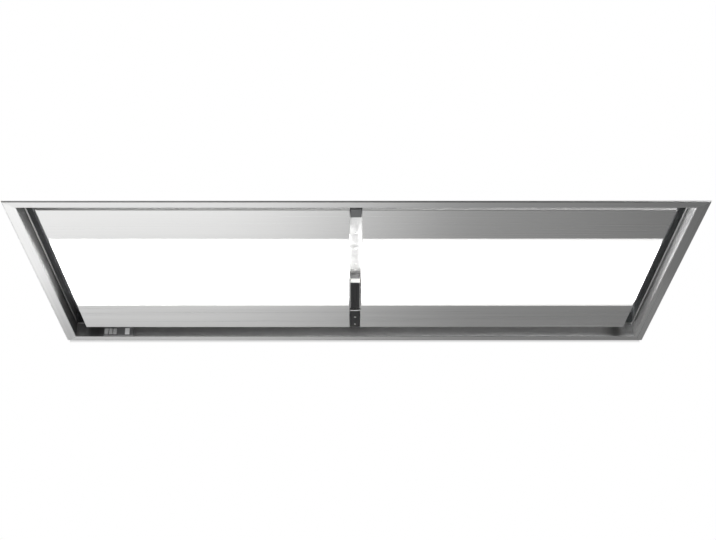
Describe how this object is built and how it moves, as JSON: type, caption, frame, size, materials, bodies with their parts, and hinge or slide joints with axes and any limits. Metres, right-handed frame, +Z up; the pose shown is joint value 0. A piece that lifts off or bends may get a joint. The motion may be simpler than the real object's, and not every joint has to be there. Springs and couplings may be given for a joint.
{
  "type": "ceiling range hood",
  "caption": "Ceiling range hood: hinged light panels inside a suction slot, mesh grease filters, control keys, and a centrifugal blower with a round flapped outlet on top.",
  "frame": {"origin": "centre of the ceiling opening, in the plane of the ceiling's lower face, where the rim's folded edge rests", "axes": "+X along the length, left to right as seen from the room; +Y from front to back (the hinge and key side); +Z up into the ceiling"},
  "size_m": [1.4, 0.7, 0.31],
  "materials": {
    "stainless": "brushed stainless steel, grain along the length",
    "galvanised": "galvanised sheet steel",
    "zinc_steel": "zinc-plated steel",
    "aluminium": "drawn aluminium mesh and frame",
    "black_plastic": "black, fine grain",
    "grey_plastic": "dark grey, satin",
    "white_plastic": "white, satin",
    "opal": "opal acrylic, lit from behind",
    "smoked_window": "tinted, clear lacquer"
  },
  "bodies": {
    "housing": {"trim_back": "stainless", "trim_left": "stainless", "trim_front": "stainless", "trim_right": "stainless", "housing_front_wall": "galvanised", "housing_back_wall": "galvanised", "housing_left_wall": "galvanised", "housing_right_wall": "galvanised", "housing_lid": "galvanised", "hanger_front_left": "zinc_steel", "hanger_front_right": "zinc_steel", "hanger_back_left": "zinc_steel", "hanger_back_right": "zinc_steel", "filter_deck": "galvanised", "filter_1": "aluminium", "filter_2": "aluminium", "filter_3": "aluminium", "filter_4": "aluminium", "filter_rail_front": "zinc_steel", "filter_rail_back": "zinc_steel", "centre_rail": "stainless", "centre_catch": "grey_plastic", "left_catch": "grey_plastic", "right_catch": "grey_plastic", "connector_cover": "black_plastic", "centre_hinge_block": "black_plastic", "left_hinge_bracket": "zinc_steel", "right_hinge_bracket": "zinc_steel", "control_bezel": "black_plastic", "receiver_window": "smoked_window", "scroll_wall": "galvanised", "scroll_base": "galvanised", "scroll_cover": "galvanised", "inlet_bell": "galvanised", "motor": "zinc_steel", "outlet_adapter": "galvanised", "outlet_collar": "black_plastic", "flap_spindle": "zinc_steel", "electric_box": "galvanised", "electric_box_cover": "galvanised", "cable_gland": "black_plastic", "light_driver": "white_plastic"},
    "left_panel": {"left_panel_tray": "stainless", "left_panel_diffuser": "opal", "left_panel_light_board": "white_plastic", "left_panel_back_cover": "galvanised"},
    "right_panel": {"right_panel_tray": "stainless", "right_panel_diffuser": "opal", "right_panel_light_board": "white_plastic", "right_panel_back_cover": "galvanised"},
    "blower_wheel": {"blower_wheel": "galvanised"},
    "flap_front": {"flap_front": "aluminium"},
    "flap_back": {"flap_back": "aluminium"},
    "filter_latch_1": {"filter_latch_1": "stainless"},
    "filter_latch_2": {"filter_latch_2": "stainless"},
    "filter_latch_3": {"filter_latch_3": "stainless"},
    "filter_latch_4": {"filter_latch_4": "stainless"},
    "key_1": {"key_1": "grey_plastic"},
    "key_2": {"key_2": "grey_plastic"},
    "key_3": {"key_3": "grey_plastic"}
  },
  "joints": [
    {"name": "left_panel_hinge", "type": "hinge", "parent": "housing", "child": "left_panel", "pos_m": [-0.32875, 0.284, 0.0355], "axis": [1, 0, 0], "range_deg": [0, 85]},
    {"name": "right_panel_hinge", "type": "hinge", "parent": "housing", "child": "right_panel", "pos_m": [0.32875, 0.284, 0.0355], "axis": [1, 0, 0], "range_deg": [0, 85]},
    {"name": "wheel_spin", "type": "hinge", "parent": "housing", "child": "blower_wheel", "pos_m": [-0.06, 0.05, 0.21], "axis": [0, 0, 1], "continuous": true},
    {"name": "flap_front_hinge", "type": "hinge", "parent": "housing", "child": "flap_front", "pos_m": [0.2046, -0.09113, 0.2305], "axis": [0, 0, 1], "range_deg": [0, 85], "stiffness_Nm_per_rad": 0.01, "springref_deg": -20.05},
    {"name": "flap_back_hinge", "type": "hinge", "parent": "housing", "child": "flap_back", "pos_m": [0.2046, -0.09113, 0.2305], "axis": [0, 0, 1], "range_deg": [-85, 0], "stiffness_Nm_per_rad": 0.01, "springref_deg": 20.05},
    {"name": "filter_latch_1_slide", "type": "slide", "parent": "housing", "child": "filter_latch_1", "axis": [0, 1, 0], "range_m": [0, 0.0085], "stiffness_N_per_m": 300, "springref_m": -0.005},
    {"name": "filter_latch_2_slide", "type": "slide", "parent": "housing", "child": "filter_latch_2", "axis": [0, 1, 0], "range_m": [0, 0.0085], "stiffness_N_per_m": 300, "springref_m": -0.005},
    {"name": "filter_latch_3_slide", "type": "slide", "parent": "housing", "child": "filter_latch_3", "axis": [0, 1, 0], "range_m": [0, 0.0085], "stiffness_N_per_m": 300, "springref_m": -0.005},
    {"name": "filter_latch_4_slide", "type": "slide", "parent": "housing", "child": "filter_latch_4", "axis": [0, 1, 0], "range_m": [0, 0.0085], "stiffness_N_per_m": 300, "springref_m": -0.005},
    {"name": "key_1_press", "type": "slide", "parent": "housing", "child": "key_1", "axis": [0, 1, 0], "range_m": [0, 0.0008], "stiffness_N_per_m": 800, "springref_m": -0.001},
    {"name": "key_2_press", "type": "slide", "parent": "housing", "child": "key_2", "axis": [0, 1, 0], "range_m": [0, 0.0008], "stiffness_N_per_m": 800, "springref_m": -0.001},
    {"name": "key_3_press", "type": "slide", "parent": "housing", "child": "key_3", "axis": [0, 1, 0], "range_m": [0, 0.0008], "stiffness_N_per_m": 800, "springref_m": -0.001}
  ]
}
